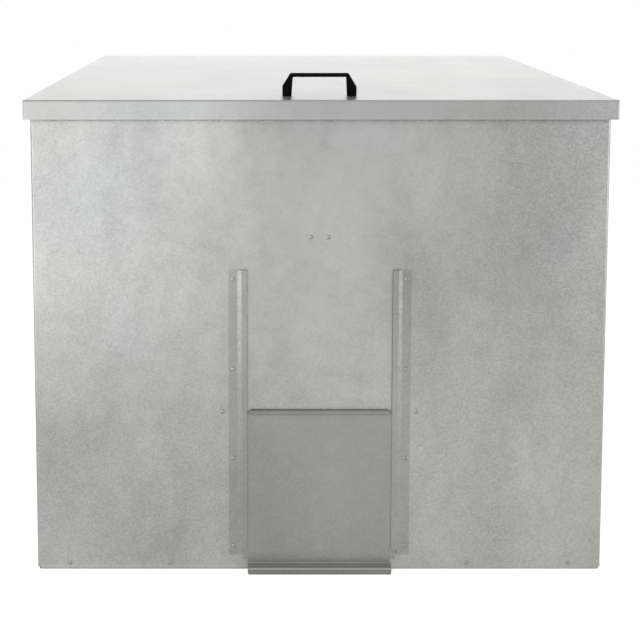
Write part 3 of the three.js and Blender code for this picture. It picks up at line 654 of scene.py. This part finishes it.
def turned_piece(name, profile, seats, axis, *finish):
    """The same solid turned round an axis at every seat, as one object. Each profile point is a distance
    from the axis and a height along it, from the lowest to the highest, and the normals are smooth where
    the profile bends by less than 45 degrees."""
    profile, seats, axis = (np.array(part, float) for part in (profile, seats, axis))
    angle = np.arange(TURN_STEPS) * 2 * math.pi / TURN_STEPS
    side = unit(np.cross(axis, (0.3, 0.5, 0.8)))
    spoke = np.cos(angle)[:, None] * side + np.sin(angle)[:, None] * np.cross(axis, side)
    ring = (profile[:, :1, None] * spoke[None] + profile[:, 1:, None] * axis).reshape(-1, 3)
    count = len(profile)
    index = np.arange(count * TURN_STEPS).reshape(count, TURN_STEPS)
    after = np.roll(index, -1, axis=1)
    quad = np.stack([index[:-1], after[:-1], after[1:], index[1:]], axis=-1).reshape(-1, 4)
    step = np.diff(profile, axis=0)
    slant = unit(np.stack([step[:, 1], -step[:, 0]], axis=-1))
    below = slant[np.maximum(np.arange(count) - 1, 0)]
    above = slant[np.minimum(np.arange(count), count - 2)]
    smooth = (below * above).sum(axis=-1) > SMOOTH_COSINE
    start = np.where(smooth[:-1, None], unit(below + above)[:-1], slant)
    stop = np.where(smooth[1:, None], unit(below + above)[1:], slant)
    spoke_after = np.roll(spoke, -1, axis=0)
    turns = [(start, spoke), (start, spoke_after), (stop, spoke_after), (stop, spoke)]
    normal = [pair[:, None, :1] * s[None] + pair[:, None, 1:] * axis for pair, s in turns]
    normals = np.tile(np.stack(normal, axis=2).reshape(-1, 3), (len(seats), 1))
    places = (seats[:, None] + ring[None]).reshape(-1, 3)
    faces = (np.arange(len(seats))[:, None, None] * len(ring) + quad[None]).reshape(-1, 4)
    return mesh_piece(name, places, faces, normals, *finish)


def rivet_profile(grip):
    """From the tail's end, over the swollen tail and the shank, to the domed head and the hollow in
    it, where the mandrel's stub sits."""
    dome = [(4 * math.cos(a), 0.4 + 1.2 * math.sin(a)) for a in np.linspace(0, 1.22, 8)]
    tail = -grip - 0.3
    return [
        (0.01, tail - 4.5),
        (1.9, tail - 4.4),
        (2.6, tail - 3.4),
        (3.0, tail - 2.0),
        (3.0, tail - 0.8),
        (2.4, tail),
        (2.0, tail),
        (2.0, -0.05),
        (3.1, 0.0),
        *dome,
        (1.1, 1.5),
        (1.05, 1.15),
        (0.01, 1.2),
    ]


def rivet_row(name, nodes, facing, grip, body):
    """Rivets at the places of their CAD nodes, as one piece."""
    facing = np.array(facing, float)
    seats = []
    for node in nodes:
        low, high = (np.array(corner) * 1000 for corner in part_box(node))
        seat = np.where(facing > 0, high, low) - HEAD_RISE * facing
        seats.append(np.where(facing != 0, seat, (low + high) / 2) - (0, front_face, 0))
    profile = rivet_profile(grip)
    return turned_piece(name, profile, seats, facing, rivet_alloy, body, nodes, "rivet_alloy")


FORWARD, BACKWARD = (0, -1, 0), (0, 1, 0)
for name, facing, grip, count in (
    ("lintel", FORWARD, STRIP_GRIP, 2),
    ("tie_front", FORWARD, STRIP_GRIP, 2),
    ("tie_rear", BACKWARD, STRIP_GRIP, 2),
    ("floor_front", FORWARD, PANEL_GRIP, 4),
    ("floor_rear", BACKWARD, PANEL_GRIP, 4),
):
    rivet_row(f"{name}_rivets", [f"{name}_rivet_{i + 1}" for i in range(count)], facing, grip, "box")
for name, side in (("left", -1), ("right", 1)):
    outward = (side, 0, 0)
    rail_nodes = [f"{name}_rail_rivet_{i}" for i in (1, 2, 3, 4)]
    rivet_row(f"{name}_rail_rivets", rail_nodes, FORWARD, PANEL_GRIP, "box")
    floor_nodes = [f"{name}_floor_rivet_{i}" for i in (1, 2)]
    rivet_row(f"{name}_floor_rivets", floor_nodes, outward, PANEL_GRIP, "box")
    seams = ((LAP / 2, SEAM_FRONT_STOP + slope * LAP / 2), (BODY_DEPTH - LAP / 2, SEAM_REAR_STOP))
    corner_seats = [
        (side * BODY_WIDTH / 2 - side * SEAM_SINK, y, z)
        for y, stop in seams
        for z in np.linspace(SEAM_START, stop, SEAM_RIVETS)
    ]
    # The corner seams' rivets stand for no CAD node, and their heads are set a little into the laps.
    turned_piece(
        f"{name}_corner_rivets",
        rivet_profile(PANEL_GRIP),
        corner_seats,
        outward,
        rivet_alloy,
        "box",
        (),
        "rivet_alloy",
    )


# Hatch plate: 1.5 mm galvanised sheet, duller than the box, whose edges slide behind the rail lips. Its
# top is folded forward as a hand lip, and its foot forward, down, back and up again as a ledge to lift by.
PLATE = 1.5
PLATE_Y = -1.55
PLATE_TOP = 293.2
LEDGE_REACH, LEDGE_LEAN, LEDGE_TOP, LEDGE_RADIUS = 20, 1.5, 13.0, 4
LEDGE_FROM, LEDGE_TURNED_UP = -3, 10.5
HAND_LIP_REACH, HAND_LIP_EDGE, HAND_LIP_CUT = 8.1, 283.5, 6
BETWEEN_LIPS, BEHIND_LIPS = 126, 134.5
TUCK_FOOT, TUCK_NARROWS, TUCK_TOP = 20, 278, 285.5
SQUEEZE_FROM = 100
# The hatch's ledge gets a painted highlight on its top and painted shade on its face below.
hatch_zinc = galvanised("dull galvanised steel", "979795", "848480", 0.42, 0.7, LEDGE_TOP)


def corner_cut(depth, radius):
    """How far a rounded corner stands in from its edge at a depth past the start of its arc."""
    depth = np.clip(depth, 0, radius)
    return radius - np.sqrt(radius**2 - depth**2)


def hatch_plate():
    """The section from foot to lip carried over x. The outer columns are kept behind the rail lips only,
    and the columns between them are squeezed inwards where a corner is clipped or rounded."""
    half = PLATE / 2
    ledge_y, ledge_z = PLATE_Y - LEDGE_REACH, LEDGE_TOP - half
    corners = [(PLATE_Y, LEDGE_TURNED_UP), (PLATE_Y, half), (ledge_y + LEDGE_LEAN, half)]
    corners += [(ledge_y, ledge_z), (PLATE_Y, ledge_z)]
    corners += [(PLATE_Y, PLATE_TOP), (PLATE_Y - HAND_LIP_REACH, HAND_LIP_EDGE)]
    section = fold(corners, PLATE, 12, [(1, TUCK_FOOT), (1, TUCK_NARROWS), (1, TUCK_TOP)])
    marks = [-BETWEEN_LIPS, -123.5, -120, 120, 123.5, BETWEEN_LIPS]
    columns = stations(-BEHIND_LIPS, BEHIND_LIPS, 12, marks)
    x, y = np.meshgrid(columns, section[:, 0], indexing="xy")
    z = np.broadcast_to(section[:, 1:], x.shape)
    clear = BETWEEN_LIPS - np.clip(z - HAND_LIP_EDGE, 0, HAND_LIP_CUT)
    clear = clear - corner_cut(half + LEDGE_RADIUS - z, LEDGE_RADIUS) * (y < LEDGE_FROM)
    tuck = BEHIND_LIPS - np.clip(z - TUCK_NARROWS, 0, TUCK_TOP - TUCK_NARROWS)
    side = np.clip((np.abs(x) - SQUEEZE_FROM) / (BETWEEN_LIPS - SQUEEZE_FROM), 0, 1)
    between_lips = np.abs(middles(x)) < BETWEEN_LIPS
    shrunk = np.abs(x) - (BETWEEN_LIPS - clear) * side
    x = np.sign(x) * np.where(np.abs(x) > BETWEEN_LIPS, np.minimum(np.abs(x), tuck), shrunk)
    on_plate = (middles(z) > TUCK_FOOT) & (middles(z) < TUCK_TOP) & (middles(y) > LEDGE_FROM)
    waves = rolling_waves(x, z, 21, 0.8) * fade(x, -125, 125, 60) * fade(z, TUCK_FOOT, 270, 60)
    middle = np.stack([x, y + waves, z], axis=-1)
    return middle, between_lips | on_plate


sheet_metal(
    "hatch_plate_folded", [hatch_plate()], PLATE, hatch_zinc, "hatch", ("hatch_plate",), "hatch_sheet"
)


# Lid: a pan folded from one galvanised sheet. Its flanges hang over the box, and each side flange ends in
# a tab bent round behind the front or back flange. Two hinges hold it to the back panel.
lid_zinc = galvanised("brighter galvanised steel", "a4a4a4", "939393", 0.38)
LID_TOP = 832.47
LID_FOOT = LID_TOP - 33
LID_FRONT, LID_REAR, LID_SIDE = -13.4, 779.4, 508.4
TAB_TOP_DROP = 2.7
TAB_START_FRONT, TAB_LINE_FRONT = -9, -12.2
TAB_START_REAR, TAB_LINE_REAR = 775, 778.2
TAB_LENGTH = 7


def lid_pan():
    """Rows run along the lengthwise section and columns along the cross section. A place takes y and z
    from its row, x and a drop from its column, and the whole is raised with the slope."""
    top = LID_TOP - SHEET / 2
    run = [(LID_FRONT, LID_FOOT), (LID_FRONT, top), (LID_REAR, top), (LID_REAR, LID_FOOT)]
    lengthwise = fold(run, SHEET, 20, [(0, TAB_START_FRONT), (0, TAB_START_REAR)])
    run = [(-LID_SIDE, LID_FOOT), (-LID_SIDE, top), (LID_SIDE, top), (LID_SIDE, LID_FOOT)]
    across = fold(run, SHEET, 20)
    y, x = np.meshgrid(lengthwise[:, 0], across[:, 0], indexing="ij")
    z, drop = np.meshgrid(lengthwise[:, 1], across[:, 1] - top, indexing="ij")
    waves = rolling_waves(x, y, 7, 1.1) * fade(x, -500, 500, WAVE_FADE) * fade(y, 70, 770, WAVE_FADE)
    middle = np.stack([x, y, z + drop + waves + slope * y], axis=-1)
    mid_x, mid_y, mid_drop = np.abs(middles(x)), middles(y), middles(drop)
    inside = (mid_y > LID_FRONT + BEND_RADIUS) & (mid_y < LID_REAR - BEND_RADIUS)
    in_tab_row = (mid_y < TAB_START_FRONT) | (mid_y > TAB_START_REAR)
    tabbed = (mid_x > LID_SIDE - BEND_RADIUS) & (mid_drop < -BEND_RADIUS) & in_tab_row
    grids = [(middle, ((mid_x < LID_SIDE - BEND_RADIUS) | inside) & ~tabbed)]
    for side in (-1, 1):
        x, tip = side * LID_SIDE, side * (LID_SIDE - TAB_LENGTH)
        for start, line in ((TAB_START_FRONT, TAB_LINE_FRONT), (TAB_START_REAR, TAB_LINE_REAR)):
            bend = fold([(x, start), (x, line), (tip, line)], SHEET, 6)
            height, tab_x = np.meshgrid(
                stations(LID_FOOT, LID_TOP - TAB_TOP_DROP), bend[:, 0], indexing="ij"
            )
            tab_y = np.broadcast_to(bend[:, 1], tab_x.shape)
            tab = np.stack([tab_x, tab_y, height + slope * tab_y], axis=-1)
            grids.append((tab, np.ones((len(tab) - 1, tab.shape[1] - 1), bool)))
    return grids


sheet_metal("lid_pan_folded", lid_pan(), SHEET, lid_zinc, "lid", ("lid_panel",), "galvanised_sheet")


# Lid stiffener: a top-hat strip of the same sheet, spot-welded across the lid's underside between the
# rims of the side panels.
STIFFENER_Y, STIFFENER_FOOT = 383, 830.4
STIFFENER_HALF = 474.8
HAT_HALF, HAT_FLANGE_HALF, HAT_DEPTH = 22, 36, 16


def lid_stiffener():
    """The top-hat section carried over x and raised with the slope."""
    corners = [(-HAT_FLANGE_HALF, 0), (-HAT_HALF, 0), (-HAT_HALF, -HAT_DEPTH)]
    corners += [(-y, z) for y, z in corners[::-1]]
    section = [(STIFFENER_Y + y, STIFFENER_FOOT + z) for y, z in corners]
    middle, kept = strip(section, SHEET, -STIFFENER_HALF, STIFFENER_HALF, "x")
    middle[..., 2] += slope * middle[..., 1]
    return middle, kept


sheet_metal(
    "lid_stiffener_hat",
    [lid_stiffener()],
    SHEET,
    lid_zinc,
    "lid",
    ("lid_stiffener",),
    "galvanised_sheet",
)


# Lid handle: a bridge moulded in glass-filled nylon, black with a fine eroded texture and rounded edges.
# It stands on two feet, and two screws hold it from under the lid.
TEXTURE_MM = 0.6
HANDLE_Y = 46
HANDLE_DEPTH = 18
EDGE_RADIUS = 1.4
EDGE_STEPS = 5


def moulded_black():
    """Black nylon: low sheen, with a fine texture of 0.6 mm."""
    material, output = new_material("black glass-filled nylon")
    tree = material.node_tree
    place = add(tree, "TexCoord").outputs["Object"]
    grain = add(tree, "TexNoise", {"Vector": place, "Scale": 1000 / TEXTURE_MM, "Detail": 2.0})
    relief = add(tree, "Bump", {"Height": grain.outputs[0], "Strength": 0.35, "Distance": 0.0001})
    nylon = add(
        tree,
        "BsdfPrincipled",
        {
            "Base Color": linear("030303"),
            "Roughness": 0.55,
            "Specular IOR Level": 0.06,
            "Normal": relief.outputs[0],
        },
    )
    tree.links.new(nylon.outputs[0], output.inputs[0])
    return material


black_nylon = moulded_black()
HANDLE_SEAT = np.array([0.0, HANDLE_Y, LID_TOP + slope * HANDLE_Y + 0.3])
SLOPE_COS, SLOPE_SIN = math.cos(math.atan(slope)), math.sin(math.atan(slope))


def on_lid(places):
    """Places in the handle's own frame (across, along the slope, square to it), turned onto the lid."""
    x, y, z = np.moveaxis(np.asarray(places, float), -1, 0)
    turned = [x, y * SLOPE_COS - z * SLOPE_SIN, y * SLOPE_SIN + z * SLOPE_COS]
    return HANDLE_SEAT + np.stack(turned, axis=-1)


def handle_bridge():
    """Rings of a rounded rectangle, each from an outer point to an inner point of the bridge's outline
    and as deep as the handle, carried from one foot over the shoulders and the grip to the other."""
    half = [
        ((65, 0.0), (49, 0.0)),
        ((65, 0.5), (49, 0.5)),
        ((65, 8), (48.6, 8)),
        ((65, 15), (48.2, 15)),
        ((64.8, 16.3), (48.1, 16)),
        ((64.2, 17.4), (48.05, 17)),
        ((57.3, 28.4), (47.4, 28.4)),
        ((54.6, 32.7), (47.2, 31.2)),
        ((52.6, 36.0), (46.8, 32.3)),
        ((51.4, 37.8), (46.2, 32.8)),
        ((50.0, 38.5), (45.2, 33.0)),
        ((46.0, 38.5), (44.0, 33.0)),
    ]
    half = np.array(half, float)
    outline = np.concatenate([half, half[::-1] * (-1, 1)])
    outer, inner = outline[:, 0], outline[:, 1]
    span = np.linalg.norm(outer - inner, axis=-1)
    angle = np.arange(EDGE_STEPS + 1) * math.pi / (2 * EDGE_STEPS)
    corner = np.stack([1 - np.sin(angle), 1 - np.cos(angle)], axis=-1) * EDGE_RADIUS
    ring = []
    for flip_u, flip_w in ((0, 0), (1, 0), (1, 1), (0, 1)):
        part = corner if flip_u == flip_w else corner[::-1]
        ring += [(flip_u, du, flip_w, dw) for du, dw in part]
    ring = np.array(ring)
    share = np.abs(ring[None, :, 0] * span[:, None] - ring[None, :, 1]) / span[:, None]
    depth = np.abs(ring[:, 2] * HANDLE_DEPTH - ring[:, 3]) - HANDLE_DEPTH / 2
    flat = outer[:, None] + (inner - outer)[:, None] * share[..., None]
    places = np.stack([flat[..., 0], np.broadcast_to(depth, share.shape), flat[..., 1]], axis=-1)
    return on_lid(places)


def tube_piece(name, rings, *finish):
    """Closed rings joined in a row and capped at both ends, with normals smooth along and around."""
    count, size = rings.shape[:2]
    index = np.arange(count * size).reshape(count, size)
    after = np.roll(index, -1, axis=1)
    quad = np.stack([index[:-1], after[:-1], after[1:], index[1:]], axis=-1).reshape(-1, 4)
    around = np.roll(rings, -1, axis=1) - np.roll(rings, 1, axis=1)
    normal = unit(np.cross(around, np.gradient(rings, axis=0))).reshape(-1, 3)
    faces = [tuple(f) for f in quad] + [tuple(index[0][::-1]), tuple(index[-1])]
    centre = rings.mean(axis=1)
    caps = [np.tile(unit(centre[end] - centre[near]), (size, 1)) for end, near in ((0, 1), (-1, -2))]
    normals = np.concatenate([normal[quad].reshape(-1, 3), *caps])
    return mesh_piece(name, rings.reshape(-1, 3), faces, normals, *finish)


tube_piece("lid_handle_moulded", handle_bridge(), black_nylon, "lid", ("lid_handle",), "handle_plastic")


# Handle screws: 5 mm pan-head screws with flat washers, of bright zinc-plated steel. They come up through
# the lid into the feet of the handle.
SCREW_X = 57
screw_zinc = bright_metal("bright zinc-plated screw", "b4b5b6", "9c9d9f", 0.28, 1.5)
up_slope = (0, -SLOPE_SIN, SLOPE_COS)
SCREW_PROFILE = [(0.01, -4.6), (1.3, -4.6), (1.4, -6.05), (2.9, -6.0), (4.1, -5.4), (4.6, -4.4)]
SCREW_PROFILE += [(4.6, -3.3), (2.5, -3.3), (2.5, 14), (0.01, 14)]
WASHER_PROFILE = [(2.8, -1.8), (2.8, -3.0), (5.8, -3.0), (6.0, -2.8)]
WASHER_PROFILE += [(6.0, -2.0), (5.8, -1.8), (2.8, -1.8)]
for name, side in (("left", -1), ("right", 1)):
    for part, form, profile in (
        ("screw", "pan_screw", SCREW_PROFILE),
        ("washer", "flat_washer", WASHER_PROFILE),
    ):
        turned_piece(
            f"{name}_handle_{form}",
            profile,
            [on_lid([side * SCREW_X, 0, 0])],
            up_slope,
            screw_zinc,
            "lid",
            (f"{name}_handle_{part}",),
            "screw_zinc",
        )


# Butt hinges: 76 mm steel hinges, bright zinc-plated, with leaves of 1.8 mm rolled round a 5 mm pin.
# Blind rivets hold one leaf to the back panel and the other to the lid's rear flange.
LEAF = 1.8
LEAF_Y = 780.9
PIN_Y, PIN_Z = 784.8, 936.0
HINGE_X = 320
HINGE_HALF = 38
KNUCKLES = 5
KNUCKLE = 2 * HINGE_HALF / KNUCKLES
KNUCKLE_PLAY = 0.25
ROLL_RADIUS = 3.6
HINGE_GRIP = 3.0
hinge_zinc = bright_metal("bright zinc-plated hinge steel", "b2b3b4", "9b9c9d", 0.32, 6.0)


def hinge_leaf(middle_x, lift):
    """The leaf's edge and plate, then the roll round the pin, as one line in y and z carried over x. Cells
    of the roll are kept on this leaf's own knuckles only."""
    roll = np.linspace(math.pi, math.pi * 2.72, 30)
    plate = [(LEAF_Y, rise) for rise in (25.0, 18.0, 12.0, 6.0, 5.0)] + [(781.0, 2.6), (781.15, 1.0)]
    curl = [(PIN_Y + ROLL_RADIUS * math.cos(a), ROLL_RADIUS * math.sin(a)) for a in roll]
    line = np.array(plate + curl)
    start, stop = middle_x - HINGE_HALF, middle_x + HINGE_HALF
    edges = [start + KNUCKLE * k for k in range(1, KNUCKLES)]
    marks = [edge + gap for edge in edges for gap in (-KNUCKLE_PLAY, KNUCKLE_PLAY)]
    x, y = np.meshgrid(stations(start, stop, 8, marks), line[:, 0], indexing="ij")
    z = np.broadcast_to(PIN_Z + lift * line[:, 1], x.shape)
    place = (middles(x) - start) / KNUCKLE
    gap = np.abs(place - np.round(place)) * KNUCKLE < KNUCKLE_PLAY
    inner = (place > 0.5) & (place < KNUCKLES - 0.5)
    own = (np.floor(place) % 2 == (1 if lift > 0 else 0)) & ~(gap & inner)
    rolled = (np.abs(middles(z) - PIN_Z) < 5) | (middles(y) > 781.8)
    return np.stack([x, y, z], axis=-1), own | ~rolled


PIN_PROFILE = [(0.01, -39.4), (2.6, -39.4), (3.5, -39.0), (3.8, -38.4), (3.8, -38.3), (2.5, -38.3)]
PIN_PROFILE += [(radius, -height) for radius, height in PIN_PROFILE[::-1]]
for name, middle_x in (("left", -HINGE_X), ("right", HINGE_X)):
    for leaf, body, lift in (("body", "box", -1), ("lid", "lid", 1)):
        sheet_metal(
            f"{name}_hinge_{leaf}_leaf_rolled",
            [hinge_leaf(middle_x, lift)],
            LEAF,
            hinge_zinc,
            body,
            (f"{name}_hinge_{leaf}_leaf",),
            "hinge_zinc",
        )
        nodes = [f"{name}_hinge_{leaf}_rivet_{i}" for i in (1, 2)]
        rivet_row(f"{name}_hinge_{leaf}_rivets", nodes, BACKWARD, HINGE_GRIP, body)
    turned_piece(
        f"{name}_hinge_pin_steel",
        PIN_PROFILE,
        [(middle_x, PIN_Y, PIN_Z)],
        (1, 0, 0),
        hinge_zinc,
        "box",
        (f"{name}_hinge_pin",),
        "hinge_zinc",
    )
